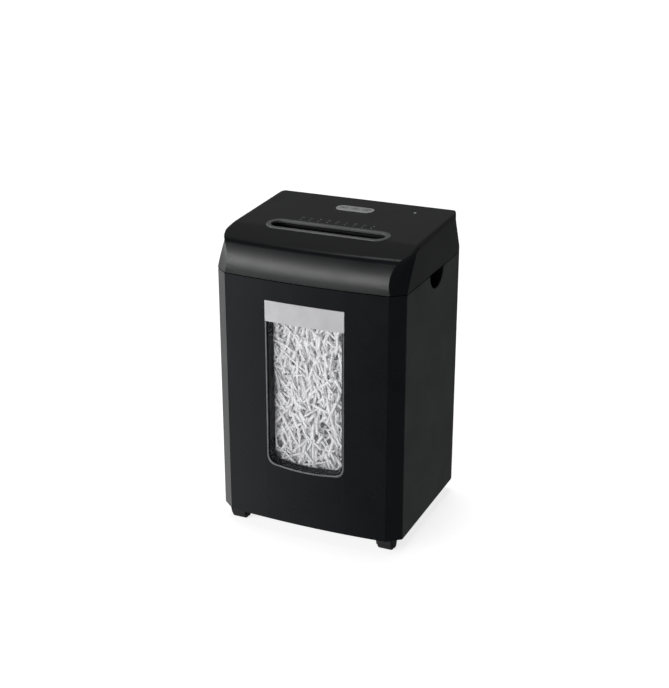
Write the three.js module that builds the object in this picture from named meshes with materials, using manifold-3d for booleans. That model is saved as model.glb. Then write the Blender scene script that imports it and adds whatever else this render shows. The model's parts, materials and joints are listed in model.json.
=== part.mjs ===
// A free-standing office paper shredder: a cabinet on four rollers, a pull-out bin with a window,
// and a cutting head with its drive train. Millimetres, +Z up, the front faces -Y, and the origin
// is on the floor under the middle of the bounding box.
import * as THREE from 'three';
import { mergeVertices } from 'three/addons/utils/BufferGeometryUtils.js';
import Module from 'manifold-3d';

const wasm = await Module();
wasm.setup();

// ---------------------------------------------------------------- driving sizes

const HALF_WIDTH = 190;
const HALF_DEPTH = 161;
const CASTOR_HEIGHT = 28;
const SEAM_Z = 520;
const WALL = 3;
const GAP = 0.4;

// The front is gently bowed between two vertical corner bands.
const FRONT_BOW = 8;
const FRONT_EDGE_X = 164;
const FRONT_EDGE_Y = -HALF_DEPTH + FRONT_BOW;
const BAND_X = HALF_WIDTH - FRONT_EDGE_X;
const BAND_Y = 21.5;
const SIDE_FRONT_Y = FRONT_EDGE_Y + BAND_Y;
const BACK_CORNER = 20;

const CABINET_TOP = SEAM_Z - 1.5;
const SIDE_SEAM = 0.4;

// Head: its flat top rises gently towards the back, and its back wall leans in.
const TOP_RISE = 0.046;
const TOP_FRONT_Y = FRONT_EDGE_Y + 87;
const TOP_BACK_Y = 134;
const TOP_BACK_Z = SEAM_Z + 83;
const TOP_EDGE_RADIUS = 8;
const BACK_LEAN_START = SEAM_Z + 10;
const BACK_LEAN_END = SEAM_Z + 70;
const BACK_LEAN = 11;
const TOP_CORNER_GROWTH = 18;
const BAND_FADE_HEIGHT = 71;
const BAND_FADE_RUN = 48;
const BAND_FADE_TURN = 0.85;

// Feed slot and the controls behind it.
const SLOT_Y = -53;
const SLOT_OUTER = [249, 51];
const SLOT_INNER = [230, 37];
const THROAT_LENGTH = 226;
const THROAT_DEPTH = 44;
const INDICATOR_Y = -16;
const INDICATOR_COUNT = 9;
const INDICATOR_PITCH = 18;
const PANEL_Y = 75;
const PANEL_SIZE = [78, 27];
const BUTTON_PITCH = 23;
const BUTTON_RADIUS = 8.5;
const LAMP_X = 116;
const LAMP_Y = 95;
const LAMP_RADIUS = 3;
const LENS_RADIUS = 1.8;

// Mains inlet and rocker switch, side by side on the leaning back of the head.
const BACK_PARTS_Z = SEAM_Z + 38;
const INLET_X = -105;
const ROCKER_X = -60;

// Window in the bin front, with the pull plate across its top.
const WINDOW_HALF = 80;
const WINDOW_BOTTOM = CASTOR_HEIGHT + 113.5;
const PLATE_BOTTOM = CASTOR_HEIGHT + 411;
const PLATE_TOP = CASTOR_HEIGHT + 452;
const TRIM_WIDTH = 3;
const RECESS_BACK_Y = -143;

// Bin tub.
const TUB_HALF = 160;
const TUB_BOTTOM = 40;
const TUB_TOP = 470;
const TUB_FRONT_Y = -140.9;
const TUB_BACK_Y = 133;
const TUB_WALL = 2;
const SHRED_TOP = 448;

// Side hand recess.
const GRIP_Y = 20;
const GRIP_HALF = 36.5;
const GRIP_DROP = 33;
const GRIP_DEPTH = 18;

// Rollers.
const WHEEL_RADIUS = 13;
const WHEEL_HALF = 15;
const CASTOR_X = 156;
const CASTOR_FRONT_Y = -128;
const CASTOR_BACK_Y = 128;

// Cutting mechanism: two parallel cutters, meshed one to one and driven through one idler.
const AXIS_Z = 525;
const CUTTER_SPACING = 34;
const CUTTER_FRONT_Y = SLOT_Y - CUTTER_SPACING / 2;
const CUTTER_REAR_Y = SLOT_Y + CUTTER_SPACING / 2;
const DISC_RADIUS = 19.5;
const CORE_RADIUS = 13.5;
const DISC_WIDTH = 7.4;
const DISC_PITCH = 16.4;
const SHAFT_RADIUS = 8;
const PLATE_X = 119.5;
const SYNC_TEETH = 20;
const SYNC_MODULE = CUTTER_SPACING / SYNC_TEETH;
const DRIVE_TEETH = 40;
const IDLER_PINION_TEETH = 12;
const DRIVE_MODULE = 1.5;
const IDLER_TEETH = 44;
const MOTOR_TEETH = 10;
const MOTOR_MODULE = 1.25;
const IDLER_Y = CUTTER_REAR_Y + (DRIVE_TEETH + IDLER_PINION_TEETH) * DRIVE_MODULE / 2;
const MOTOR_Y = IDLER_Y + (IDLER_TEETH + MOTOR_TEETH) * MOTOR_MODULE / 2;
const SYNC_X = [125, 134];
const DRIVE_X = [137, 145];
const IDLER_X = [148, 154];
const GEAR_PLATE_X = [157, 159.5];
const TIE_RODS = { front: [-91, 502], rear: [-15, 502] };
const AXLE_RADIUS = 4;
const AXLE_BORE = AXLE_RADIUS + 0.3;
const SHAFT_BORE = SHAFT_RADIUS + 0.3;

// ---------------------------------------------------------------- looks

const LOOKS = {
  shell: { color: 0x25282a, roughness: 0.3, metalness: 0 },
  side: { color: 0x2d3132, roughness: 0.5, metalness: 0 },
  inner: { color: 0x17191a, roughness: 0.6, metalness: 0 },
  silver: { color: 0xc6c6ca, roughness: 0.35, metalness: 0.6 },
  bezel: { color: 0x5a5c60, roughness: 0.35, metalness: 0.5 },
  steel: { color: 0x8d9094, roughness: 0.35, metalness: 1 },
  brass: { color: 0xb08d4a, roughness: 0.4, metalness: 1 },
  rubber: { color: 0x151515, roughness: 0.8, metalness: 0 },
  clear: { color: 0xdfe8ea, roughness: 0.05, metalness: 0, transparent: true, opacity: 0.35 },
  paper: { color: 0xeeeeec, roughness: 0.9, metalness: 0 },
  key: { color: 0x303437, roughness: 0.4, metalness: 0 },
  lens: { color: 0xb9c4cc, roughness: 0.3, metalness: 0 },
  board: { color: 0x1f5a35, roughness: 0.5, metalness: 0 },
};

// ---------------------------------------------------------------- solids

function toSolid(geometry) {
  const bare = geometry.index ? geometry.toNonIndexed() : geometry.clone();
  bare.deleteAttribute('normal');
  bare.deleteAttribute('uv');
  const welded = mergeVertices(bare, 1e-4);
  return new wasm.Manifold(new wasm.Mesh({
    numProp: 3,
    vertProperties: new Float32Array(welded.attributes.position.array),
    triVerts: new Uint32Array(welded.index.array),
  }));
}

function toGeometry(solid) {
  const mesh = solid.getMesh();
  const geometry = new THREE.BufferGeometry();
  const positions = new Float32Array(mesh.vertProperties);
  geometry.setAttribute('position', new THREE.BufferAttribute(positions, 3));
  geometry.setIndex(new THREE.BufferAttribute(new Uint32Array(mesh.triVerts), 1));
  return geometry;
}

function cut(body, ...tools) {
  const solid = tools.reduce((rest, tool) => rest.subtract(toSolid(tool)), toSolid(body));
  return toGeometry(solid);
}

function join(body, ...others) {
  const solid = others.reduce((sum, other) => sum.add(toSolid(other)), toSolid(body));
  return toGeometry(solid);
}

function overlap(body, other) {
  return toGeometry(toSolid(body).intersect(toSolid(other)));
}

// The other-handed twin of a body, mirrored across the middle of the machine.
function flipX(geometry) {
  const flipped = toGeometry(toSolid(geometry)).scale(-1, 1, 1);
  flipped.setIndex(Array.from(flipped.index.array).reverse());
  return flipped;
}

function box([x0, x1], [y0, y1], [z0, z1]) {
  const geometry = new THREE.BoxGeometry(x1 - x0, y1 - y0, z1 - z0);
  return geometry.translate((x0 + x1) / 2, (y0 + y1) / 2, (z0 + z1) / 2);
}

// A rod along X, centred on (y, z).
function rod(radius, [x0, x1], y = 0, z = 0, segments = 24) {
  const geometry = new THREE.CylinderGeometry(radius, radius, x1 - x0, segments);
  return geometry.rotateZ(Math.PI / 2).translate((x0 + x1) / 2, y, z);
}

// A round body along X from [x, radius] pairs that start and end on the axis.
function turned(profile, segments = 24) {
  const points = profile.map(([x, radius]) => new THREE.Vector2(radius, x));
  return new THREE.LatheGeometry(points, segments).rotateZ(-Math.PI / 2);
}

// A round body along Z from [z, radius] pairs, closed by a flat face at both ends.
function turnedUp(profile, segments = 24) {
  const rim = profile.map(([z, radius]) => new THREE.Vector2(radius, z));
  const low = new THREE.Vector2(0, rim[0].y);
  const high = new THREE.Vector2(0, rim[rim.length - 1].y);
  return new THREE.LatheGeometry([low, ...rim, high], segments).rotateX(Math.PI / 2);
}

function extrudeUp(shape, [z0, z1], curveSegments = 12) {
  const options = { depth: z1 - z0, bevelEnabled: false, curveSegments };
  return new THREE.ExtrudeGeometry(shape, options).translate(0, 0, z0);
}

// The shape is drawn in (y, z) and runs along X.
function extrudeAcross(shape, [x0, x1], curveSegments = 12) {
  const axes = new THREE.Matrix4().makeBasis(
    new THREE.Vector3(0, 1, 0), new THREE.Vector3(0, 0, 1), new THREE.Vector3(1, 0, 0));
  const options = { depth: x1 - x0, bevelEnabled: false, curveSegments };
  return new THREE.ExtrudeGeometry(shape, options).applyMatrix4(axes).translate(x0, 0, 0);
}

// The shape is drawn in (x, z) and runs along Y.
function extrudeBack(shape, [y0, y1], curveSegments = 12) {
  const axes = new THREE.Matrix4().makeBasis(
    new THREE.Vector3(1, 0, 0), new THREE.Vector3(0, 0, 1), new THREE.Vector3(0, -1, 0));
  const options = { depth: y1 - y0, bevelEnabled: false, curveSegments };
  return new THREE.ExtrudeGeometry(shape, options).applyMatrix4(axes).translate(0, y1, 0);
}

function polygon(points) {
  return new THREE.Shape(points.map(([a, b]) => new THREE.Vector2(a, b)));
}

function stadium(length, width) {
  const reach = (length - width) / 2;
  const shape = new THREE.Shape();
  shape.absarc(reach, 0, width / 2, -Math.PI / 2, Math.PI / 2);
  shape.absarc(-reach, 0, width / 2, Math.PI / 2, Math.PI * 1.5);
  return shape;
}

function disc(radius, x = 0) {
  return new THREE.Shape().absarc(x, 0, radius, 0, Math.PI * 2);
}

function circle(radius, x = 0) {
  return new THREE.Path().absarc(x, 0, radius, 0, Math.PI * 2);
}

function signedVolume(positions, index) {
  const [a, b, c] = [new THREE.Vector3(), new THREE.Vector3(), new THREE.Vector3()];
  let volume = 0;
  for (let i = 0; i < index.length; i += 3) {
    a.fromArray(positions, index[i] * 3);
    b.fromArray(positions, index[i + 1] * 3);
    c.fromArray(positions, index[i + 2] * 3);
    volume += a.dot(b.cross(c)) / 6;
  }
  return volume;
}

// A closed body through convex rings of equally many points, with a flat cap at each end.
function loft(rings) {
  const count = rings[0].length;
  const positions = rings.flat(2);
  const index = [];
  for (let ring = 0; ring + 1 < rings.length; ring += 1) {
    for (let i = 0; i < count; i += 1) {
      const next = (i + 1) % count;
      const [a, b] = [ring * count + i, ring * count + next];
      index.push(a, b, b + count, a, b + count, a + count);
    }
  }
  const last = (rings.length - 1) * count;
  for (let i = 1; i + 1 < count; i += 1) {
    index.push(0, i + 1, i, last, last + i, last + i + 1);
  }
  if (signedVolume(positions, index) < 0) index.reverse();
  const geometry = new THREE.BufferGeometry();
  geometry.setAttribute('position', new THREE.Float32BufferAttribute(positions, 3));
  geometry.setIndex(index);
  return geometry;
}

function piece(name, look, geometry) {
  const mesh = new THREE.Mesh(geometry, new THREE.MeshStandardMaterial(LOOKS[look]));
  mesh.name = name;
  return mesh;
}

function at(position, ...children) {
  const group = new THREE.Group();
  group.position.set(...position);
  group.add(...children);
  return group;
}

// ---------------------------------------------------------------- shared outlines

const frontY = (x) => FRONT_EDGE_Y - FRONT_BOW * (1 - (x / FRONT_EDGE_X) ** 2);

const topZ = (y) => TOP_BACK_Z - TOP_RISE * (TOP_BACK_Y - y);

// The line of a corner band in plan, moved inwards by `inset`: the x where it reaches y.
function bandX(y, inset) {
  const length = Math.hypot(BAND_X, BAND_Y);
  const [runX, runY] = [BAND_X / length, BAND_Y / length];
  const along = (y - FRONT_EDGE_Y - runX * inset) / runY;
  return FRONT_EDGE_X - runY * inset + runX * along;
}

function bandY(x, inset) {
  const slope = BAND_Y / BAND_X;
  return FRONT_EDGE_Y + slope * (x - bandX(FRONT_EDGE_Y, inset));
}

// Right-hand half of a rounded back corner in plan, from the side round to the back.
function backCorner(inset, back = HALF_DEPTH, corner = BACK_CORNER) {
  const radius = corner - inset;
  const steps = 6;
  const points = [];
  for (let i = 0; i <= steps; i += 1) {
    const angle = (i / steps) * Math.PI / 2;
    points.push([
      HALF_WIDTH - corner + radius * Math.cos(angle),
      back - corner + radius * Math.sin(angle),
    ]);
  }
  return points;
}

function mirrored(points) {
  return points.map(([x, y]) => [-x, y]).reverse();
}

// A slice of the bowed front: from `near` to `far` behind the front surface.
function frontSlice([x0, x1], [z0, z1], [near, far], steps = 16) {
  const outer = [];
  const inner = [];
  for (let i = 0; i <= steps; i += 1) {
    const x = x0 + (x1 - x0) * i / steps;
    outer.push([x, frontY(x) + near]);
    inner.push([x, frontY(x) + far]);
  }
  return extrudeUp(polygon([...outer, ...inner.reverse()]), [z0, z1]);
}

// The window outline in (x, z): square at the top, rounded below, with a sagging bottom edge.
function windowShape(half, bottom, top) {
  const corner = 22;
  const sag = 4;
  const shape = new THREE.Shape();
  shape.moveTo(-half, top);
  shape.lineTo(-half, bottom + sag + corner);
  shape.quadraticCurveTo(-half, bottom + sag, corner - half, bottom + sag);
  shape.quadraticCurveTo(0, bottom - sag, half - corner, bottom + sag);
  shape.quadraticCurveTo(half, bottom + sag, half, bottom + sag + corner);
  shape.lineTo(half, top);
  return shape;
}

// ---------------------------------------------------------------- cabinet

function sidePanel(side) {
  const outer = [[HALF_WIDTH, SIDE_FRONT_Y + SIDE_SEAM], ...backCorner(0)];
  const inner = [[HALF_WIDTH - WALL, SIDE_FRONT_Y + SIDE_SEAM], ...backCorner(WALL)];
  const wall = extrudeUp(polygon([...outer, ...inner.reverse()]), [CASTOR_HEIGHT, CABINET_TOP]);
  const notch = new THREE.Shape();
  notch.absellipse(GRIP_Y, CABINET_TOP + 1, GRIP_HALF, GRIP_DROP + 1, 0, Math.PI * 2);
  const panel = cut(wall, extrudeAcross(notch, [HALF_WIDTH - 2 * WALL, HALF_WIDTH + WALL], 20));
  return side > 0 ? panel : flipX(panel);
}

function gripCup(side) {
  const rim = CABINET_TOP - 2.5;
  const drop = GRIP_DROP - 2.5;
  const thickness = 2;
  const outside = HALF_WIDTH - WALL - GAP;
  const inside = outside - GRIP_DEPTH;
  const lower = new THREE.Shape();
  lower.absellipse(GRIP_Y, rim, GRIP_HALF + thickness, drop + thickness, Math.PI, Math.PI * 2);
  const whole = new THREE.Shape().absellipse(GRIP_Y, rim, GRIP_HALF, drop, 0, Math.PI * 2);
  const cup = cut(
    extrudeAcross(lower, [inside - thickness, outside], 16),
    extrudeAcross(whole, [inside, outside + 1], 32));
  return side > 0 ? cup : flipX(cup);
}

function cornerPost(side) {
  const returnBack = SIDE_FRONT_Y - 7.5;
  const edge = FRONT_EDGE_X + SIDE_SEAM;
  const returnInner = edge + 2.8;
  const outline = polygon([
    [edge, bandY(edge, 0)],
    [bandX(SIDE_FRONT_Y - SIDE_SEAM, 0), SIDE_FRONT_Y - SIDE_SEAM],
    [bandX(SIDE_FRONT_Y - SIDE_SEAM, WALL), SIDE_FRONT_Y - SIDE_SEAM],
    [returnInner, bandY(returnInner, WALL)],
    [returnInner, returnBack],
    [edge, returnBack],
  ]);
  const post = extrudeUp(outline, [CASTOR_HEIGHT, CABINET_TOP]);
  return side > 0 ? post : flipX(post);
}

function baseTray() {
  const inset = WALL + GAP;
  const frontWidth = FRONT_EDGE_X - GAP;
  const [lipY, postY] = [-143.5, -138.4];
  const right = [
    [frontWidth, lipY],
    [frontWidth, postY],
    [bandX(postY, inset), postY],
    [HALF_WIDTH - inset, bandY(HALF_WIDTH - inset, inset)],
    ...backCorner(inset),
  ];
  const top = CASTOR_HEIGHT + 3.5;
  return extrudeUp(polygon([...right, ...mirrored(right)]), [CASTOR_HEIGHT, top]);
}

function castorFork() {
  const earHalf = 8;
  const plateHalf = 12;
  const plateTop = CASTOR_HEIGHT - 0.3;
  const shape = new THREE.Shape();
  shape.moveTo(plateHalf, plateTop - 3);
  shape.lineTo(plateHalf, plateTop);
  shape.lineTo(-plateHalf, plateTop);
  shape.lineTo(-plateHalf, plateTop - 3);
  shape.lineTo(-earHalf, WHEEL_RADIUS);
  shape.absarc(0, WHEEL_RADIUS, earHalf, Math.PI, Math.PI * 2);
  const earIn = WHEEL_HALF + 0.8;
  const earOut = earIn + 2.4;
  const body = extrudeAcross(shape, [-earOut, earOut], 6);
  const hollow = box([-earIn, earIn], [-20, 20], [0, plateTop - 1.4]);
  return cut(body, hollow, rod(3.3, [-earOut - 1, earOut + 1], 0, WHEEL_RADIUS, 12));
}

function castorWheel() {
  const pin = 3;
  const pinEnd = WHEEL_HALF + 3;
  const shoulder = 2.2;
  const side = [
    [WHEEL_HALF - shoulder, WHEEL_RADIUS],
    [WHEEL_HALF, WHEEL_RADIUS - shoulder],
    [WHEEL_HALF, pin],
    [pinEnd, pin],
    [pinEnd, 0],
  ];
  const otherSide = side.map(([x, radius]) => [-x, radius]).reverse();
  return turned([...otherSide, ...side], 20);
}

function castors() {
  const corners = [
    ['front_left', -CASTOR_X, CASTOR_FRONT_Y],
    ['front_right', CASTOR_X, CASTOR_FRONT_Y],
    ['rear_left', -CASTOR_X, CASTOR_BACK_Y],
    ['rear_right', CASTOR_X, CASTOR_BACK_Y],
  ];
  return corners.map(([corner, x, y]) => {
    const wheel = piece(`castor_wheel_${corner}`, 'rubber', castorWheel());
    wheel.position.z = WHEEL_RADIUS;
    return at([x, y, 0], piece(`castor_fork_${corner}`, 'inner', castorFork()), wheel);
  });
}

function cabinet() {
  const backHalf = HALF_WIDTH - BACK_CORNER - GAP;
  const guide = (side) => box([-6, 6], [-125, 125], [CASTOR_HEIGHT + 3.8, TUB_BOTTOM - 0.4])
    .translate(side * 130, 0, 0);
  const railHalf = FRONT_EDGE_X + 2;
  return [
    piece('base_tray', 'inner', baseTray()),
    piece('side_panel_left', 'side', sidePanel(-1)),
    piece('side_panel_right', 'side', sidePanel(1)),
    piece('back_panel', 'side',
      box([-backHalf, backHalf], [HALF_DEPTH - WALL, HALF_DEPTH], [CASTOR_HEIGHT, CABINET_TOP])),
    piece('corner_post_left', 'shell', cornerPost(-1)),
    piece('corner_post_right', 'shell', cornerPost(1)),
    piece('front_cross_rail', 'inner', box([-railHalf, railHalf], [-134, -128.5], [500, 515])),
    piece('bin_guide_left', 'inner', guide(-1)),
    piece('bin_guide_right', 'inner', guide(1)),
    piece('grip_cup_left', 'inner', gripCup(-1)),
    piece('grip_cup_right', 'inner', gripCup(1)),
    ...castors(),
  ];
}

// ---------------------------------------------------------------- bin

// The tapered hollow of the window, from the front face back to the pane.
function windowHollow() {
  const ring = (half, bottom, top, y) => windowShape(half, bottom, top).getPoints(8)
    .map(({ x, y: z }) => [x, y, z]);
  const front = ring(WINDOW_HALF - TRIM_WIDTH, WINDOW_BOTTOM + TRIM_WIDTH, PLATE_TOP - 3, -HALF_DEPTH - 5);
  const back = ring(WINDOW_HALF - 10, WINDOW_BOTTOM + 6, PLATE_TOP - 6, RECESS_BACK_Y + 1);
  return loft([front, back]);
}

function binFrontPanel() {
  const half = FRONT_EDGE_X - 0.4;
  const [bottom, top] = [CASTOR_HEIGHT, CABINET_TOP];
  const flangeBack = -144;
  const skin = frontSlice([-half, half], [bottom, top], [0, WALL], 24);
  const returns = [-1, 1].map((side) => {
    const across = [side * half, side * (half - WALL)].sort((a, b) => a - b);
    return box(across, [frontY(half) + 0.5, flangeBack], [bottom, top]);
  });
  const lip = (z0) => overlap(
    frontSlice([-half, half], [z0, z0 + WALL], [1, 2 * FRONT_BOW + WALL], 24),
    box([-half, half], [-HALF_DEPTH, flangeBack], [z0, z0 + WALL]));
  const frame = box(
    [-WINDOW_HALF - 6, WINDOW_HALF + 6],
    [-HALF_DEPTH + WALL + 1, RECESS_BACK_Y],
    [WINDOW_BOTTOM - 7, PLATE_TOP + 7]);
  const shell = join(skin, ...returns, lip(bottom), lip(top - WALL), frame);
  const seat = overlap(
    extrudeBack(windowShape(WINDOW_HALF + GAP, WINDOW_BOTTOM - GAP, PLATE_TOP + GAP), [-200, -100]),
    frontSlice([-half, half], [0, SEAM_Z], [-10, WALL + GAP], 24));
  return cut(shell, seat, windowHollow());
}

function windowTrim() {
  const across = [-HALF_DEPTH - 5, -HALF_DEPTH + 15];
  const outer = extrudeBack(windowShape(WINDOW_HALF, WINDOW_BOTTOM, PLATE_BOTTOM - GAP), across);
  const inner = extrudeBack(
    windowShape(WINDOW_HALF - TRIM_WIDTH, WINDOW_BOTTOM + TRIM_WIDTH, PLATE_BOTTOM + 1),
    [across[0] - 1, across[1] + 1]);
  const band = frontSlice([-WINDOW_HALF - 2, WINDOW_HALF + 2], [0, SEAM_Z], [0, WALL]);
  return overlap(cut(outer, inner), band);
}

function binTub() {
  const outer = box([-TUB_HALF, TUB_HALF], [TUB_FRONT_Y, TUB_BACK_Y], [TUB_BOTTOM, TUB_TOP]);
  const hollow = box(
    [-TUB_HALF + TUB_WALL, TUB_HALF - TUB_WALL],
    [TUB_FRONT_Y + TUB_WALL, TUB_BACK_Y - TUB_WALL],
    [TUB_BOTTOM + TUB_WALL, TUB_TOP + 1]);
  const window = extrudeBack(
    windowShape(WINDOW_HALF - 5, WINDOW_BOTTOM + 4, PLATE_TOP - 14), [TUB_FRONT_Y - 1, TUB_FRONT_Y + 5]);
  return cut(outer, hollow, window);
}

function paperShreds() {
  const inset = TUB_WALL + 1;
  const heap = box(
    [-TUB_HALF + inset, TUB_HALF - inset],
    [TUB_FRONT_Y + TUB_WALL + GAP, TUB_BACK_Y - inset],
    [TUB_BOTTOM + inset, SHRED_TOP]);
  const bulge = extrudeBack(
    windowShape(WINDOW_HALF - 6, WINDOW_BOTTOM + 5, SHRED_TOP),
    [TUB_FRONT_Y + 0.3, TUB_FRONT_Y + 6]);
  return join(heap, bulge);
}

function bin() {
  return [
    piece('bin_front_panel', 'shell', binFrontPanel()),
    piece('bin_tub', 'inner', binTub()),
    piece('window_pane', 'clear', box(
      [-WINDOW_HALF + 3, WINDOW_HALF - 3],
      [RECESS_BACK_Y + 0.3, RECESS_BACK_Y + 1.8],
      [WINDOW_BOTTOM, PLATE_TOP - 2])),
    piece('window_trim', 'silver', windowTrim()),
    piece('pull_plate', 'silver',
      frontSlice([-WINDOW_HALF, WINDOW_HALF], [PLATE_BOTTOM, PLATE_TOP], [0, WALL])),
    piece('paper_shreds', 'paper', paperShreds()),
  ];
}

// ---------------------------------------------------------------- head casing

// The side profile of the head in (y, z), from the front of the seam over the top to its back.
function headProfile(curveSteps) {
  const y = (offset) => FRONT_EDGE_Y + offset;
  const z = (offset) => SEAM_Z + offset;
  const path = new THREE.Path();
  path.moveTo(y(0.5), z(0));
  path.bezierCurveTo(y(2.2), z(19), y(7.6), z(36.5), y(15), z(53));
  path.quadraticCurveTo(y(18.6), z(60.6), y(27), z(62.5));
  path.quadraticCurveTo(y(66), z(71.8), TOP_FRONT_Y, topZ(TOP_FRONT_Y));
  path.lineTo(TOP_BACK_Y, TOP_BACK_Z);
  const shoulder = HALF_DEPTH - BACK_LEAN;
  path.quadraticCurveTo(shoulder - 1.5, TOP_BACK_Z, shoulder, BACK_LEAN_END);
  path.lineTo(HALF_DEPTH, BACK_LEAN_START);
  path.lineTo(HALF_DEPTH, SEAM_Z);
  return path.getPoints(curveSteps);
}

// Each point moves towards the inside of a line that runs clockwise around it.
function inwards(points, distance) {
  return points.map((point, i) => {
    const before = points[Math.max(i - 1, 0)];
    const after = points[Math.min(i + 1, points.length - 1)];
    const along = after.clone().sub(before).normalize();
    return new THREE.Vector2(point.x + along.y * distance, point.y - along.x * distance);
  });
}

// The head as seen from the side, swept across its width and rounded down at both side edges.
function headSweep(inset, low, curveSteps) {
  const half = HALF_WIDTH - inset;
  const radius = TOP_EDGE_RADIUS - inset / 2;
  const profile = inwards(headProfile(curveSteps), inset);
  const first = profile[0];
  const last = profile[profile.length - 1];
  const outline = [new THREE.Vector2(first.x, low), ...profile, new THREE.Vector2(last.x, low)];
  const fade = (y) => THREE.MathUtils.clamp((TOP_FRONT_Y - y) / (TOP_FRONT_Y - FRONT_EDGE_Y - 18), 0, 1);
  const bowed = [0.25, 0.5, 0.75, 1].map((part) => part * FRONT_EDGE_X);
  const rounded = [0, 0.5, 0.85, 1].map((part) => half - radius + part * radius);
  const right = [...bowed, ...rounded];
  const stations = [...right.map((x) => -x).reverse(), 0, ...right];
  return loft(stations.map((x) => {
    const over = Math.max(Math.abs(x) - (half - radius), 0);
    const drop = radius - Math.sqrt(Math.max(radius ** 2 - over ** 2, 0));
    const squash = 1 - drop / (TOP_BACK_Z - SEAM_Z);
    const bow = FRONT_EDGE_Y - frontY(x);
    return outline.map(({ x: y, y: z }) => {
      const height = z > SEAM_Z ? SEAM_Z + (z - SEAM_Z) * squash : z;
      return [x, y - bow * fade(y), height];
    });
  }));
}

// The head as seen from above, level by level: the corner bands narrow and fade out upwards.
function headPlan(inset, low, steps) {
  const farFront = -HALF_DEPTH - 14;
  const levels = [low];
  for (let i = 0; i <= steps; i += 1) {
    levels.push(SEAM_Z + BAND_FADE_HEIGHT * i / steps);
  }
  levels.push(TOP_BACK_Z + 10);
  return loft(levels.map((z) => {
    const rise = THREE.MathUtils.clamp((z - SEAM_Z) / BAND_FADE_HEIGHT, 0, 1);
    const slope = (BAND_X / BAND_Y) * (1 - BAND_FADE_TURN * rise ** 1.3);
    const sideFront = SIDE_FRONT_Y + BAND_FADE_RUN * rise ** 1.2 + 0.44 * inset;
    const side = HALF_WIDTH - inset;
    const leant = THREE.MathUtils.clamp((z - BACK_LEAN_START) / (BACK_LEAN_END - BACK_LEAN_START), 0, 1);
    const band = [];
    for (let i = 0; i <= steps; i += 1) {
      const y = farFront + (sideFront - farFront) * i / steps;
      band.push([side - slope * (sideFront - y), y]);
    }
    const corner = BACK_CORNER + TOP_CORNER_GROWTH * leant;
    const right = [...band, ...backCorner(inset, HALF_DEPTH - BACK_LEAN * leant, corner)];
    return [...right, ...mirrored(right)].map(([x, y]) => [x, y, z]);
  }));
}

function headBody(inset, low, curveSteps, levels) {
  return overlap(headSweep(inset, low, curveSteps), headPlan(inset, low, levels));
}

const topTilt = Math.atan(TOP_RISE);
const backLean = Math.atan(BACK_LEAN / (BACK_LEAN_END - BACK_LEAN_START));

// A tool or part drawn flat, laid on the sloping top at depth y.
function layOnTop(geometry, y, x = 0) {
  return geometry.rotateX(topTilt).translate(x, y, topZ(y));
}

// Parts on the leaning back wall, all at the same height.
function layOnBack(geometry, x) {
  const y = HALF_DEPTH - BACK_LEAN * (BACK_PARTS_Z - BACK_LEAN_START) / (BACK_LEAN_END - BACK_LEAN_START);
  return geometry.rotateX(backLean).translate(x, y, BACK_PARTS_Z);
}

function indicatorPlaces() {
  const middle = (INDICATOR_COUNT - 1) / 2;
  return Array.from({ length: INDICATOR_COUNT }, (_, i) => (i - middle) * INDICATOR_PITCH);
}

function headCover() {
  const through = [-10, 10];
  const shell = cut(headBody(0, SEAM_Z, 6, 12), headBody(WALL, SEAM_Z - 5, 3, 4));
  const slotHole = extrudeUp(stadium(SLOT_OUTER[0] + 0.8, SLOT_OUTER[1] + 0.8), through);
  const panelHole = extrudeUp(stadium(PANEL_SIZE[0] + 0.8, PANEL_SIZE[1] + 0.8), through);
  const lampHole = extrudeUp(disc(LAMP_RADIUS + GAP), through, 5);
  const lensHole = () => extrudeUp(disc(LENS_RADIUS + GAP), through, 4);
  return cut(shell,
    layOnTop(slotHole, SLOT_Y),
    layOnTop(panelHole, PANEL_Y),
    layOnTop(lampHole, LAMP_Y, LAMP_X),
    ...indicatorPlaces().map((x) => layOnTop(lensHole(), INDICATOR_Y, x)),
    layOnBack(box([-14.4, 14.4], [-12, 5], [-10.4, 10.4]), INLET_X),
    layOnBack(box([-8.4, 8.4], [-12, 5], [-11.4, 11.4]), ROCKER_X));
}

function headChassis() {
  const wall = 2.5;
  const half = 165;
  const [front, back] = [-126, HALF_DEPTH - WALL - GAP];
  const [floor, rim] = [488, SEAM_Z - GAP];
  const flangeBottom = rim - 3;
  const tray = box([-half, half], [front, back], [floor, rim]);
  const flangeInset = WALL + GAP;
  const right = [
    [HALF_WIDTH - flangeInset, front],
    ...backCorner(flangeInset),
  ];
  const flange = extrudeUp(polygon([...right, ...mirrored(right)]), [flangeBottom, rim]);
  const hollow = box([-half + wall, half - wall], [front + wall, back - wall], [floor + wall, rim + 1]);
  const drop = box([-116, 116], [SLOT_Y - 33, SLOT_Y + 33], [floor - 1, floor + wall + 1]);
  return cut(join(tray, flange), hollow, drop);
}

function slotBezel() {
  const ring = stadium(...SLOT_OUTER);
  ring.holes.push(stadium(...SLOT_INNER));
  const options = { depth: 4.1, bevelThickness: 1, bevelSize: 1, bevelOffset: -1, bevelSegments: 1,
    curveSegments: 10 };
  return new THREE.ExtrudeGeometry(ring, options).translate(0, 0, -3.7);
}

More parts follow.
